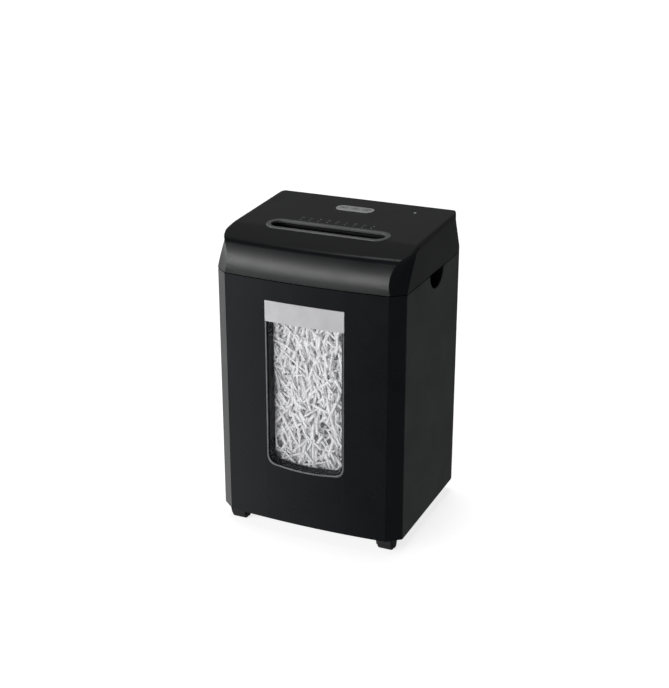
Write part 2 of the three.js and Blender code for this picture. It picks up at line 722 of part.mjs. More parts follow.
function feedThroat() {
  const ring = (length, width, z) => [
    [-length / 2, -width / 2, z], [length / 2, -width / 2, z],
    [length / 2, width / 2, z], [-length / 2, width / 2, z],
  ];
  const [topGap, endGap, wall] = [34, 8, 2];
  const high = -5;
  const flange = extrudeUp(stadium(SLOT_OUTER[0] + 6, SLOT_OUTER[1] + 3), [high - 1.8, high]);
  const funnel = loft([
    ring(THROAT_LENGTH + 2 * wall, endGap + 2 * wall, -THROAT_DEPTH),
    ring(THROAT_LENGTH + 2 * wall, topGap + 2 * wall, high - 0.5),
  ]);
  const hollow = loft([
    ring(THROAT_LENGTH, endGap - 0.6, -THROAT_DEPTH - 1),
    ring(THROAT_LENGTH, topGap + 0.6, high + 1),
  ]);
  return cut(join(flange, funnel), hollow);
}

function controlPanel() {
  const shape = stadium(...PANEL_SIZE);
  for (const x of [-BUTTON_PITCH, 0, BUTTON_PITCH]) {
    shape.holes.push(circle(BUTTON_RADIUS + GAP, x));
  }
  return extrudeUp(shape, [-2.7, 0.8], 10);
}

function indicatorStrip() {
  const length = (INDICATOR_COUNT - 1) * INDICATOR_PITCH + 12;
  const bar = box([-length / 2, length / 2], [-3.5, 3.5], [-6.4, -3.6]);
  const lens = (x) => extrudeUp(disc(LENS_RADIUS, x), [-4, 0.2], 4);
  return join(bar, ...indicatorPlaces().map(lens));
}

function mainsInlet() {
  const flange = box([-17, 17], [0.4, 2], [-13, 13]);
  const body = box([-14, 14], [-22, 1], [-10, 10]);
  const socket = box([-12, 12], [-18, 5], [-8, 8]);
  return cut(join(flange, body), socket);
}

function rocker() {
  const shape = polygon([[-10, -10.8], [0.6, -10.8], [-0.6, 0], [2.4, 10.8], [-10, 10.8]]);
  return extrudeAcross(shape, [-8, 8]);
}

function onTop(y, ...children) {
  const group = at([0, y, topZ(y)], ...children);
  group.rotation.x = topTilt;
  return group;
}

function button(name, x) {
  const cap = turnedUp([[-4, BUTTON_RADIUS], [0.5, BUTTON_RADIUS], [1.1, BUTTON_RADIUS - 1]]);
  const key = piece(name, 'key', cap);
  key.position.x = x;
  return key;
}

function casing() {
  const lamp = piece('status_lamp', 'lens', turnedUp([[-5, LAMP_RADIUS], [0.3, LAMP_RADIUS], [0.8, 2]], 20));
  lamp.position.x = LAMP_X;
  return [
    piece('head_cover', 'shell', headCover()),
    piece('head_chassis', 'inner', headChassis()),
    onTop(SLOT_Y,
      piece('slot_bezel', 'bezel', slotBezel()),
      piece('feed_throat', 'inner', feedThroat())),
    onTop(PANEL_Y,
      piece('control_panel', 'bezel', controlPanel()),
      button('button_reverse', -BUTTON_PITCH),
      button('button_power', 0),
      button('button_forward', BUTTON_PITCH),
      piece('control_board', 'board', box([-46, 46], [-20, 20], [-14, -12.4]))),
    onTop(INDICATOR_Y, piece('indicator_strip', 'lens', indicatorStrip())),
    onTop(LAMP_Y, lamp),
    piece('mains_inlet', 'inner', layOnBack(mainsInlet(), INLET_X)),
    piece('rocker_switch', 'inner', layOnBack(rocker(), ROCKER_X)),
  ];
}

// ---------------------------------------------------------------- cutting mechanism

// A spur gear outline. With `onTooth` a tooth points along +Y, and otherwise a gap does.
function gearShape(teeth, module, bore, onTooth) {
  const pitch = teeth * module / 2;
  const [root, tip] = [pitch - 1.2 * module, pitch + 0.8 * module];
  const step = Math.PI * 2 / teeth;
  const points = [];
  for (let i = 0; i < teeth; i += 1) {
    const middle = (i + (onTooth ? 0 : 0.5)) * step;
    for (const [radius, offset] of [[root, -0.3], [tip, -0.11], [tip, 0.11], [root, 0.3]]) {
      const angle = middle + offset * step;
      points.push([radius * Math.cos(angle), radius * Math.sin(angle)]);
    }
  }
  const shape = polygon(points);
  if (bore) shape.holes.push(circle(bore));
  return shape;
}

function gear(teeth, module, [x0, x1], bore, onTooth) {
  return extrudeAcross(gearShape(teeth, module, bore, onTooth), [x0, x1], 8);
}

function cutter(discs, end) {
  const shaftEnd = -125;
  const coreEnd = 117;
  const profile = [
    [shaftEnd, 0], [shaftEnd, SHAFT_RADIUS], [-coreEnd, SHAFT_RADIUS], [-coreEnd, CORE_RADIUS],
  ];
  for (let i = 0; i < discs; i += 1) {
    const middle = (i - (discs - 1) / 2) * DISC_PITCH;
    const [low, high] = [middle - DISC_WIDTH / 2, middle + DISC_WIDTH / 2];
    profile.push([low, CORE_RADIUS], [low, DISC_RADIUS], [high, DISC_RADIUS], [high, CORE_RADIUS]);
  }
  profile.push([coreEnd, CORE_RADIUS], [coreEnd, SHAFT_RADIUS], [end, SHAFT_RADIUS], [end, 0]);
  return turned(profile, 12);
}

// Fingers that reach in between the discs and keep them clear of paper.
function stripperComb(fingers, side) {
  const [barNear, barFar] = [DISC_RADIUS + 2, DISC_RADIUS + 7];
  const reach = CORE_RADIUS + 1.2;
  const halfFinger = 2.5;
  const points = [[-117, barFar], [-117, barNear]];
  for (let i = 0; i < fingers; i += 1) {
    const middle = (i - (fingers - 1) / 2) * DISC_PITCH;
    points.push([middle - halfFinger, barNear], [middle - halfFinger, reach]);
    points.push([middle + halfFinger, reach], [middle + halfFinger, barNear]);
  }
  points.push([117, barNear], [117, barFar]);
  return extrudeUp(polygon(points.map(([x, y]) => [x, side * y])), [-3, 3]);
}

function sidePlate(x0, backEnd, bores) {
  const plate = box([x0, x0 + WALL], [-97, backEnd], [494, 549]);
  const drilled = [
    [SHAFT_RADIUS + 4.3, CUTTER_FRONT_Y, AXIS_Z],
    [SHAFT_RADIUS + 4.3, CUTTER_REAR_Y, AXIS_Z],
    [3.3, ...TIE_RODS.front],
    [3.3, ...TIE_RODS.rear],
    ...bores,
  ];
  return cut(plate, ...drilled.map(([radius, y, z]) => rod(radius, [x0 - 1, x0 + WALL + 1], y, z, 20)));
}

function bearing() {
  const ring = disc(SHAFT_RADIUS + 4);
  ring.holes.push(circle(SHAFT_BORE));
  return extrudeAcross(ring, [-2, 2], 12);
}

function idlerGear() {
  const wheel = gear(IDLER_TEETH, MOTOR_MODULE, IDLER_X, 0, true);
  const pinion = gear(IDLER_PINION_TEETH, DRIVE_MODULE, [DRIVE_X[0], IDLER_X[0] + 1], 0, false);
  return cut(join(wheel, pinion), rod(AXLE_BORE, [DRIVE_X[0] - 1, IDLER_X[1] + 1]));
}

function motorBody() {
  const end = PLATE_X - 0.5;
  const can = turned([[0, 0], [0, 24], [6, 29], [end - 8, 29], [end - 8, 22], [end, 22], [end, 0]], 28);
  return cut(can, rod(4.4, [end - 40, end + 1], 0, 0, 16));
}

function motorRotor() {
  const shaft = rod(AXLE_RADIUS, [PLATE_X - 38, GEAR_PLATE_X[1] + 1], 0, 0, 16);
  return join(shaft, gear(MOTOR_TEETH, MOTOR_MODULE, IDLER_X, 0, false));
}

function onAxis(y, ...children) {
  return at([0, y, AXIS_Z], ...children);
}

function bearings() {
  const rows = [['front', CUTTER_FRONT_Y], ['rear', CUTTER_REAR_Y]];
  const ends = [['left', -PLATE_X - WALL / 2], ['right', PLATE_X + WALL / 2]];
  return rows.flatMap(([row, y]) => ends.map(([end, x]) => {
    const ring = piece(`bearing_${row}_${end}`, 'brass', bearing());
    ring.position.set(x, y, AXIS_Z);
    return ring;
  }));
}

function mechanism() {
  const tieRod = (y, z) => rod(3, [-PLATE_X - 5, PLATE_X + 5], y, z, 16);
  const idlerBore = [AXLE_BORE, IDLER_Y, AXIS_Z];
  const motorBore = [6, MOTOR_Y, AXIS_Z];
  const through = [GEAR_PLATE_X[0] - 1, GEAR_PLATE_X[1] + 1];
  const gearPlate = cut(
    box(GEAR_PLATE_X, [-52, 56], [503, 547]),
    rod(SHAFT_BORE, through, CUTTER_REAR_Y, AXIS_Z),
    rod(AXLE_BORE, through, IDLER_Y, AXIS_Z),
    rod(AXLE_BORE, through, MOTOR_Y, AXIS_Z));
  return [
    onAxis(CUTTER_FRONT_Y,
      piece('cutter_front', 'steel', cutter(14, SYNC_X[1] + 1.5)),
      piece('sync_gear_front', 'steel', gear(SYNC_TEETH, SYNC_MODULE, SYNC_X, SHAFT_BORE, true)),
      piece('stripper_comb_front', 'inner', stripperComb(13, -1))),
    onAxis(CUTTER_REAR_Y,
      piece('cutter_rear', 'steel', cutter(13, GEAR_PLATE_X[1] + 1)),
      piece('sync_gear_rear', 'steel', gear(SYNC_TEETH, SYNC_MODULE, SYNC_X, SHAFT_BORE, false)),
      piece('drive_gear', 'steel', gear(DRIVE_TEETH, DRIVE_MODULE, DRIVE_X, SHAFT_BORE, true)),
      piece('stripper_comb_rear', 'inner', stripperComb(12, 1))),
    onAxis(IDLER_Y,
      piece('idler_gear', 'steel', idlerGear()),
      piece('idler_axle', 'steel', rod(AXLE_RADIUS, [PLATE_X + 0.3, GEAR_PLATE_X[1] + 1], 0, 0, 16))),
    onAxis(MOTOR_Y,
      piece('motor_body', 'steel', motorBody()),
      piece('motor_rotor', 'steel', motorRotor())),
    piece('side_plate_left', 'steel', sidePlate(-PLATE_X - WALL, -3, [])),
    piece('side_plate_right', 'steel', sidePlate(PLATE_X, 68, [idlerBore, motorBore])),
    piece('gear_plate', 'steel', gearPlate),
    piece('tie_rod_front', 'steel', tieRod(...TIE_RODS.front)),
    piece('tie_rod_rear', 'steel', tieRod(...TIE_RODS.rear)),
    ...bearings(),
  ];
}

// The switch that the bin's back wall presses when the bin is home.
function binSwitch() {
  const body = cut(box([-10, 10], [0, 16], [-8, 8]), box([-3.4, 3.4], [-1, 9], [-3.4, 3.4]));
  const plunger = box([-3, 3], [-4.5, 5], [-3, 3]);
  return at([100, TUB_BACK_Y + 5.2, 479],
    piece('bin_switch_body', 'inner', body),
    piece('bin_switch_plunger', 'key', plunger));
}

// ---------------------------------------------------------------- the whole machine

const shredder = new THREE.Group();
shredder.add(...cabinet(), ...bin(), ...casing(), ...mechanism(), binSwitch());

export default shredder;
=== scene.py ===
# %% [markdown]
# # An office paper shredder
# A tall black machine on four rollers: a moulded head with the feed slot and the cutters in it, and a
# pull-out bin whose window shows the shredded paper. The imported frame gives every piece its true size
# and place, so this lesson only gives the pieces their finish, their soft edges and the small parts that
# a frame leaves out.

# %% Load the frame
import json
import math
import random

import bmesh
import bpy
from mathutils import Matrix, Vector, noise


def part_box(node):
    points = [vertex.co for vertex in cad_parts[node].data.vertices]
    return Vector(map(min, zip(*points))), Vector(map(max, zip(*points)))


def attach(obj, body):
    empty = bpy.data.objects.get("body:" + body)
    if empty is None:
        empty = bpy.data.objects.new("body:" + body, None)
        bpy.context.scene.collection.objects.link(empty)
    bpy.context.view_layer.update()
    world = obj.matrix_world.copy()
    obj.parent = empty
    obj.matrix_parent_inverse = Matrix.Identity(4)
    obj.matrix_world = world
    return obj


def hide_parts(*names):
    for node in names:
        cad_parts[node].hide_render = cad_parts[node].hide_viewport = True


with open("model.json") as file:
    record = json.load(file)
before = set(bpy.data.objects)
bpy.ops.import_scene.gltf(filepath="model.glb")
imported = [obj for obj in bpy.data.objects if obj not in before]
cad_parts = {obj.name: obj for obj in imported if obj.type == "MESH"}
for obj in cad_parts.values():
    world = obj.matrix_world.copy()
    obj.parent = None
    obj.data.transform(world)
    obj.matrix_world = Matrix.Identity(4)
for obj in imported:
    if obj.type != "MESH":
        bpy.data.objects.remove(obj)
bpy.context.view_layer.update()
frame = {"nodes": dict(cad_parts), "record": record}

MM = 0.001
nodes = frame["nodes"]
body_of_node = {
    node: body
    for body, names in frame["record"]["behaviour"]["bodies"].items()
    for node in names
}

# %% [markdown]
# The camera stands to the right of the front and looks down a little, from about seven machine widths
# away, so the upright edges stay nearly parallel. A camera that far away needs a long lens to fill enough
# of its frame with the machine.

# %% Camera
CAMERA_DISTANCE = 2.667
CAMERA_LENS = 71.66


def heading(turn, rise):
    """The direction of a compass turn from the front and a rise above the floor, in degrees."""
    a = math.radians(turn)
    e = math.radians(rise)
    return Vector((math.sin(a) * math.cos(e), -math.cos(a) * math.cos(e), math.sin(e)))


camera_target = Vector((-0.0100, 0.0, 0.3471))
camera_back = heading(turn=24.09, rise=21.53)
camera_data = bpy.data.cameras.new("camera")
camera_data.lens = CAMERA_LENS
camera_data.sensor_width = 36
camera = bpy.data.objects.new("camera", camera_data)
camera.location = camera_target + camera_back * CAMERA_DISTANCE
camera.rotation_euler = (-camera_back).to_track_quat("-Z", "Y").to_euler()
bpy.context.scene.collection.objects.link(camera)
bpy.context.scene.camera = camera
print("camera at", [round(x, 3) for x in camera.location])

# %% [markdown]
# Black plastic shows its shape only by what it mirrors, so the room matters more than the lamps. Lamps
# alone would leave hard little highlights. Instead the room is dim and glows softly at the left, behind
# and at the back right, so that each face mirrors a different tone and the edges between them stay clear.
# The camera itself sees the room as plain white.

# %% Room
scene = bpy.context.scene
scene.view_settings.view_transform = "Standard"
scene.view_settings.look = "None"
ROOM_DIM = 0.045


def new_node(tree, kind, sockets=None, **settings):
    """A node with its settings, and with its sockets given a value or a link."""
    made = tree.nodes.new(kind)
    for key, value in settings.items():
        setattr(made, key, value)
    for key, value in (sockets or {}).items():
        if isinstance(value, bpy.types.NodeSocket):
            tree.links.new(value, made.inputs[key])
        else:
            made.inputs[key].default_value = value
    return made


room = bpy.data.worlds.new("studio room")
room.use_nodes = True
room_tree = room.node_tree
direction = new_node(room_tree, "ShaderNodeTexCoord").outputs["Generated"]


def glow(turn, rise, start, full, strength):
    """A soft patch of light on the room's wall, round one direction."""
    near = new_node(
        room_tree, "ShaderNodeVectorMath", {0: direction, 1: heading(turn, rise)}, operation="DOT_PRODUCT"
    ).outputs["Value"]
    sockets = {"Value": near, "From Min": start, "From Max": full, "To Min": 0.0, "To Max": strength}
    return new_node(
        room_tree, "ShaderNodeMapRange", sockets, interpolation_type="SMOOTHSTEP"
    ).outputs["Result"]


glows = [
    glow(turn=-84, rise=-24, start=0.38, full=0.99, strength=0.90),
    glow(turn=204, rise=26, start=0.60, full=0.98, strength=0.11),
    glow(turn=165, rise=-24, start=0.50, full=0.98, strength=0.05),
]
light_in_room = ROOM_DIM
for one in glows:
    light_in_room = new_node(
        room_tree, "ShaderNodeMath", {0: one, 1: light_in_room}, operation="ADD"
    ).outputs[0]
seen = new_node(room_tree, "ShaderNodeLightPath").outputs["Is Camera Ray"]
light_or_white = new_node(room_tree, "ShaderNodeMix", {0: seen, 2: light_in_room, 3: 1.0}).outputs[0]
room_tree.links.new(light_or_white, room_tree.nodes["Background"].inputs["Strength"])
room_tree.nodes["Background"].inputs["Color"].default_value = (1.0, 1.0, 1.0, 1)
scene.world = room
print("room:", len(glows), "soft glows")

# %% [markdown]
# Two lamps do the rest. A long strip at the front left, above the machine's top, is stretched by the
# rolled front of the head into one broad highlight, which a round lamp would show as a spot. A wide, weak
# light from overhead lights the paper and the top and leaves a soft shadow on the floor.

# %% Lamps
def soft_light(name, turn, rise, strength, spread):
    """A distant light from a compass turn and a rise above the floor, as wide as its spread."""
    data = bpy.data.lights.new(name, "SUN")
    data.energy = strength
    data.angle = math.radians(spread)
    lamp = bpy.data.objects.new(name, data)
    lamp.rotation_euler = heading(turn, rise).to_track_quat("Z", "Y").to_euler()
    scene.collection.objects.link(lamp)
    return lamp


def strip_light(name, turn, distance, height, width, depth, power):
    """A long soft strip that faces the head of the machine."""
    data = bpy.data.lights.new(name, "AREA")
    data.shape = "RECTANGLE"
    data.size = width
    data.size_y = depth
    data.energy = power
    lamp = bpy.data.objects.new(name, data)
    a = math.radians(turn)
    lamp.location = (math.sin(a) * distance, -math.cos(a) * distance, height)
    lamp.rotation_euler = (lamp.location - Vector((0, 0, 0.5))).to_track_quat("Z", "Y").to_euler()
    lamp.visible_camera = False
    scene.collection.objects.link(lamp)
    return lamp


lights = [
    strip_light(
        "front strip softbox", turn=-26, distance=3.2, height=0.98, width=3.6, depth=0.50, power=52
    ),
    soft_light("overhead", turn=-150, rise=80, strength=0.7, spread=24),
]
print("lights:", [lamp.name for lamp in lights])

# %% [markdown]
# The floor is one wide flat face, so that its edge is never in view. It gives off a little light of its
# own, which keeps it almost white right up to the soft shadow under the machine. A white floor would also
# be mirrored in the lower half of every black face, so it is hidden from mirror rays.

# %% Floor
FLOOR_HALF = 14
floor_shape = bmesh.new()
bmesh.ops.create_grid(floor_shape, x_segments=1, y_segments=1, size=FLOOR_HALF)
floor_mesh = bpy.data.meshes.new("floor")
floor_shape.to_mesh(floor_mesh)
floor_shape.free()
floor = bpy.data.objects.new("floor", floor_mesh)
scene.collection.objects.link(floor)
floor_paint = bpy.data.materials.new("floor paint")
floor_paint.use_nodes = True
paint = floor_paint.node_tree.nodes["Principled BSDF"].inputs
paint["Base Color"].default_value = (0.86, 0.86, 0.86, 1)
paint["Roughness"].default_value = 0.9
paint["Specular IOR Level"].default_value = 0.0
paint["Emission Color"].default_value = (1, 1, 1, 1)
paint["Emission Strength"].default_value = 0.78
floor_mesh.materials.append(floor_paint)
floor.visible_glossy = False
print("floor:", 2 * FLOOR_HALF, "m across")

# %% [markdown]
# Every surface shares a few small effects, so each is a node group, built once and placed in each material
# with its own values. The other way, the same nodes copied into each material, would have to be changed
# in a dozen places. A group only gives out values that change over the surface, and it reads Object
# coordinates, so that a pattern stays on its piece when the piece moves.

# %% Helpers for node groups
def new_group(name, inputs, outputs):
    """An empty shader group with its sockets."""
    tree = bpy.data.node_groups.new(name, "ShaderNodeTree")
    for label, value in inputs:
        socket = tree.interface.new_socket(label, in_out="INPUT", socket_type="NodeSocketFloat")
        socket.default_value = value
    for label in outputs:
        tree.interface.new_socket(label, in_out="OUTPUT", socket_type="NodeSocketFloat")
    return tree, tree.nodes.new("NodeGroupInput"), tree.nodes.new("NodeGroupOutput")


def maths(tree, operation, a, b=0.0, clamp=False):
    """The value of one Math node."""
    made = new_node(tree, "ShaderNodeMath", {0: a, 1: b}, operation=operation, use_clamp=clamp)
    return made.outputs[0]


def patches(tree, place, scale, detail=3.0, rough=0.55, distortion=0.0):
    """The value of one Noise Texture: soft patches of this scale."""
    sockets = {
        "Vector": place, "Scale": scale, "Detail": detail, "Roughness": rough, "Distortion": distortion,
    }
    return new_node(tree, "ShaderNodeTexNoise", sockets).outputs["Fac"]


def spread_out(tree, value, low, high, start=0.0, end=1.0):
    """A value stretched from low..high to start..end, and held there."""
    sockets = {"Value": value, "From Min": low, "From Max": high, "To Min": start, "To Max": end}
    return new_node(tree, "ShaderNodeMapRange", sockets).outputs["Result"]


print("group helpers: new_group, maths, patches, spread_out")

# %% [markdown]
# The grain is the fine pebbling that a spark-eroded mould leaves on plastic. It comes from rounded cells
# with finer noise over them. The tone is the slow drift in colour of a real moulding.

# %% Moulded grain
grain, enter, leave = new_group("moulded grain", [("Scale", 1500.0)], ["Height", "Tone"])
place = new_node(grain, "ShaderNodeTexCoord").outputs["Object"]
pebbles = new_node(
    grain, "ShaderNodeTexVoronoi", {"Vector": place, "Scale": enter.outputs["Scale"]}, feature="SMOOTH_F1"
).outputs["Distance"]
fine = patches(grain, place, scale=2600.0, detail=2.0)
grain.links.new(maths(grain, "ADD", pebbles, maths(grain, "MULTIPLY", fine, 0.5)), leave.inputs["Height"])
drift = patches(grain, place, scale=11.0, detail=4.0, rough=0.6)
grain.links.new(spread_out(grain, drift, 0.3, 0.7), leave.inputs["Tone"])
print("effect:", grain.name)

# %% [markdown]
# Edges are rubbed first. Where the normal of a Bevel node differs from the true one there is an edge, and
# noise breaks the line up, so that only parts of it look worn. Painting the wear by hand would need a map
# for each piece.

# %% Edge wear
wear, enter, leave = new_group("edge wear", [("Width", 0.0008), ("Amount", 1.0)], ["Mask"])
place = new_node(wear, "ShaderNodeTexCoord").outputs["Object"]
round_normal = new_node(
    wear, "ShaderNodeBevel", {"Radius": enter.outputs["Width"]}, samples=4
).outputs["Normal"]
true_normal = new_node(wear, "ShaderNodeNewGeometry").outputs["Normal"]
facing = new_node(
    wear, "ShaderNodeVectorMath", {0: round_normal, 1: true_normal}, operation="DOT_PRODUCT"
).outputs["Value"]
edge = spread_out(wear, facing, 0.965, 0.72)
broken = spread_out(wear, patches(wear, place, scale=160.0, detail=5.0, rough=0.7), 0.40, 0.66)
rubbed = maths(wear, "MULTIPLY", edge, broken)
wear.links.new(maths(wear, "MULTIPLY", rubbed, enter.outputs["Amount"], True), leave.inputs["Mask"])
print("effect:", wear.name)

# %% [markdown]
# Hands and dust leave faint smears that dull the gloss, and cleaning leaves fine scratches that all run
# one way. The smears are distorted noise, and the scratches are noise squeezed hard across its length.

# %% Handling marks
handling, enter, leave = new_group("handling", [("Scale", 14.0)], ["Mask", "Scratches"])
place = new_node(handling, "ShaderNodeTexCoord").outputs["Object"]
smears = patches(handling, place, enter.outputs["Scale"], detail=6.0, rough=0.62, distortion=1.4)
handling.links.new(spread_out(handling, smears, 0.38, 0.70), leave.inputs["Mask"])
drawn = new_node(handling, "ShaderNodeMapping", {"Vector": place, "Scale": (30.0, 900.0, 30.0)}).outputs[0]
scores = patches(handling, drawn, scale=4.0, detail=2.0)
handling.links.new(spread_out(handling, scores, 0.64, 0.72), leave.inputs["Scratches"])
print("effect:", handling.name)

# %% [markdown]
# Brushed and turned metal carries fine lines along the way the tool went. Noise with a different scale
# along each axis draws them, and each metal says which way its own lines run.

# %% Brushing
brushing, enter, leave = new_group(
    "brushing", [("Along X", 12.0), ("Along Y", 900.0), ("Along Z", 900.0)], ["Height", "Tone"]
)
place = new_node(brushing, "ShaderNodeTexCoord").outputs["Object"]
stretch = new_node(
    brushing,
    "ShaderNodeCombineXYZ",
    {"X": enter.outputs["Along X"], "Y": enter.outputs["Along Y"], "Z": enter.outputs["Along Z"]},
).outputs["Vector"]
lines = new_node(
    brushing, "ShaderNodeVectorMath", {0: place, 1: stretch}, operation="MULTIPLY"
).outputs["Vector"]
brushing.links.new(patches(brushing, lines, scale=1.5, detail=5.0, rough=0.65), leave.inputs["Height"])
stains = patches(brushing, place, scale=40.0, detail=4.0)
brushing.links.new(spread_out(brushing, stains, 0.3, 0.7), leave.inputs["Tone"])
print("effects:", [g.name for g in bpy.data.node_groups])

# %% [markdown]
# A finish is one material. Its own gloss and metalness sit on the shader as plain numbers, and the shared
# effects only vary them: a lighter or darker tone where the moulding drifts, a paler rub on the edges, a
# duller patch where it is handled, and the grain in the bump.

# %% Helpers for finishes
def shade(colour, factor):
    """A colour made lighter or darker."""
    return tuple(min(1.0, c * factor) for c in colour) + (1.0,)


def start_finish(name, roughness, metallic=0.0, specular=0.5):
    """A material with its plain numbers set on the shader."""
    made = bpy.data.materials.new(name)
    made.use_nodes = True
    shader = made.node_tree.nodes["Principled BSDF"]
    shader.inputs["Roughness"].default_value = roughness
    shader.inputs["Metallic"].default_value = metallic
    shader.inputs["Specular IOR Level"].default_value = specular
    return made, made.node_tree, shader


def use_group(tree, group, **values):
    """A shared effect placed in a material, with its own values."""
    placed = tree.nodes.new("ShaderNodeGroup")
    placed.node_tree = group
    for key, value in values.items():
        placed.inputs[key.replace("_", " ")].default_value = value
    return placed


def blend_colours(tree, mask, a, b):
    """One colour turning into another where the mask is 1."""
    made = tree.nodes.new("ShaderNodeMix")
    made.data_type = "RGBA"
    for key, value in {"Factor": mask, "A": a, "B": b}.items():
        socket = [s for s in made.inputs if s.name == key and (key == "Factor" or s.type == "RGBA")][0]
        if isinstance(value, bpy.types.NodeSocket):
            tree.links.new(value, socket)
        else:
            socket.default_value = value
    return [s for s in made.outputs if s.type == "RGBA"][0]


def bump_up(tree, shader, height, depth, strength):
    """A bump that is depth millimetres deep."""
    bump = new_node(tree, "ShaderNodeBump", {"Height": height, "Distance": depth * MM, "Strength": strength})
    tree.links.new(bump.outputs["Normal"], shader.inputs["Normal"])


print("finish helpers: shade, start_finish, use_group, blend_colours, bump_up")

# %% Plastic
def plastic(name, colour, roughness, specular=0.5, pebble=1500.0, depth=0.02, rub=3.0):
    """Moulded plastic: grain, slow tone, rubbed edges and handling marks."""
    made, tree, shader = start_finish(name, roughness, 0.0, specular)
    skin = use_group(tree, grain, Scale=pebble)
    rubbed = use_group(tree, wear, Width=0.0008, Amount=0.6)
    hands = use_group(tree, handling)
    toned = blend_colours(tree, skin.outputs["Tone"], shade(colour, 0.82), shade(colour, 1.18))
    edged = blend_colours(tree, rubbed.outputs["Mask"], toned, shade(colour, rub))
    tree.links.new(edged, shader.inputs["Base Color"])
    dull = spread_out(tree, hands.outputs["Mask"], 0.0, 1.0, roughness - 0.012, roughness + 0.03)
    tree.links.new(dull, shader.inputs["Roughness"])
    scratches = maths(tree, "MULTIPLY", hands.outputs["Scratches"], 0.15)
    bump_up(tree, shader, maths(tree, "SUBTRACT", skin.outputs["Height"], scratches), depth, 0.6)
    return made


finishes = {
    "shell": plastic("satin black shell", (0.0045, 0.0052, 0.0060), 0.30, 0.42),
    "bin_front": plastic("bin front black", (0.0035, 0.0045, 0.0056), 0.28, 0.36),
    "side": plastic("grained side black", (0.0240, 0.0256, 0.0262), 0.42, 0.42, 1100.0, 0.04),
    "inner": plastic("inside black", (0.0100, 0.0102, 0.0105), 0.55, 0.30, 1300.0, 0.03),
    "bezel": plastic("grey slot ring", (0.17, 0.173, 0.178), 0.34, 0.50, 1700.0, 0.012, 1.6),
    "key": plastic("grey key", (0.50, 0.505, 0.515), 0.38, 0.50, 1900.0, 0.010, 1.25),
    "key_pad": plastic("grey key pad", (0.62, 0.625, 0.635), 0.36, 0.50, 1900.0, 0.010, 1.4),
    "mark": plastic("dark key mark", (0.020, 0.021, 0.023), 0.45, 0.40, 1900.0, 0.008, 1.5),
    "pale_mark": plastic("pale mark", (0.24, 0.245, 0.25), 0.45, 0.40, 1900.0, 0.008, 1.1),
    "tub": plastic("smoke grey tub", (0.030, 0.031, 0.033), 0.42, 0.40, 1200.0, 0.03, 2.0),
    "roller": plastic("hard rubber roller", (0.016, 0.016, 0.017), 0.62, 0.30, 700.0, 0.06, 2.5),
    "board": plastic("circuit board green", (0.010, 0.075, 0.035), 0.35, 0.50, 1600.0, 0.01, 1.8),
}
print("plastics:", sorted(finishes))

# %% [markdown]
# The plate across the window is satin silver, and the rim round the window is narrower and brighter. The
# mechanism is steel, zinc plate, brass and a painted can. They share one recipe, and differ in how
# metallic they are, how coarse their lines are and how much they stain.

# %% Metal
def metal(name, colour, roughness, metallic, along, depth, rub, stained=0.7):
    """Brushed or turned metal: drawn lines, stains and brighter edges."""
    made, tree, shader = start_finish(name, roughness, metallic)
    lined = use_group(tree, brushing, Along_X=along[0], Along_Y=along[1], Along_Z=along[2])
    rubbed = use_group(tree, wear, Width=0.0006, Amount=0.8)
    hands = use_group(tree, handling, Scale=30.0)
    toned = blend_colours(tree, lined.outputs["Tone"], shade(colour, stained), shade(colour, 1.08))
    edged = blend_colours(tree, rubbed.outputs["Mask"], toned, shade(colour, rub))
    tree.links.new(edged, shader.inputs["Base Color"])
    dull = spread_out(tree, hands.outputs["Mask"], 0.0, 1.0, roughness - 0.05, roughness + 0.12)
    tree.links.new(dull, shader.inputs["Roughness"])
    bump_up(tree, shader, lined.outputs["Height"], depth, 0.5)
    return made


metals = {
    "silver": (
        "satin silver plate", (0.56, 0.555, 0.575), 0.42, 0.30, (14.0, 1100.0, 1100.0), 0.01, 1.1, 0.97,
    ),
    "rim": ("silver window rim", (0.26, 0.265, 0.28), 0.32, 0.70, (40.0, 900.0, 40.0), 0.01, 1.2, 0.85),
    "cutter_steel": ("hardened cutter steel", (0.42, 0.41, 0.40), 0.30, 1.0, (900.0, 60.0, 60.0), 0.02, 1.5),
    "plate_steel": ("zinc plated steel", (0.55, 0.56, 0.58), 0.34, 1.0, (160.0, 220.0, 220.0), 0.02, 1.2),
    "motor": ("painted motor can", (0.09, 0.095, 0.10), 0.40, 0.6, (900.0, 25.0, 25.0), 0.02, 2.6),
    "bush_brass": ("sintered brass bush", (0.62, 0.43, 0.18), 0.40, 1.0, (300.0, 300.0, 300.0), 0.03, 1.2),
}
for finish, values in metals.items():
    finishes[finish] = metal(*values)
print("metals:", sorted(metals))

# %% [markdown]
# The window pane is clear sheet plastic with a faint haze. A true refracting sheet would block the soft
# light from the paper behind it, so the pane is made see-through with a plain alpha, and its haze and
# smears ride on the roughness.

# %% Clear window sheet
def clear_sheet(name):
    """See-through sheet with smears."""
    made, tree, shader = start_finish(name, 0.12)
    hands = use_group(tree, handling, Scale=9.0)
    skin = use_group(tree, grain, Scale=300.0)
    tinted = blend_colours(tree, hands.outputs["Mask"], (0.55, 0.56, 0.60, 1), (0.70, 0.71, 0.74, 1))
    tree.links.new(tinted, shader.inputs["Base Color"])
    smeared = spread_out(tree, hands.outputs["Mask"], 0.0, 1.0, 0.07, 0.22)
    tree.links.new(smeared, shader.inputs["Roughness"])
    bump_up(tree, shader, skin.outputs["Tone"], 0.2, 0.2)
    shader.inputs["Alpha"].default_value = 0.09
    return made


finishes["clear"] = clear_sheet("clear window sheet")
print("clear sheet: alpha 0.09")
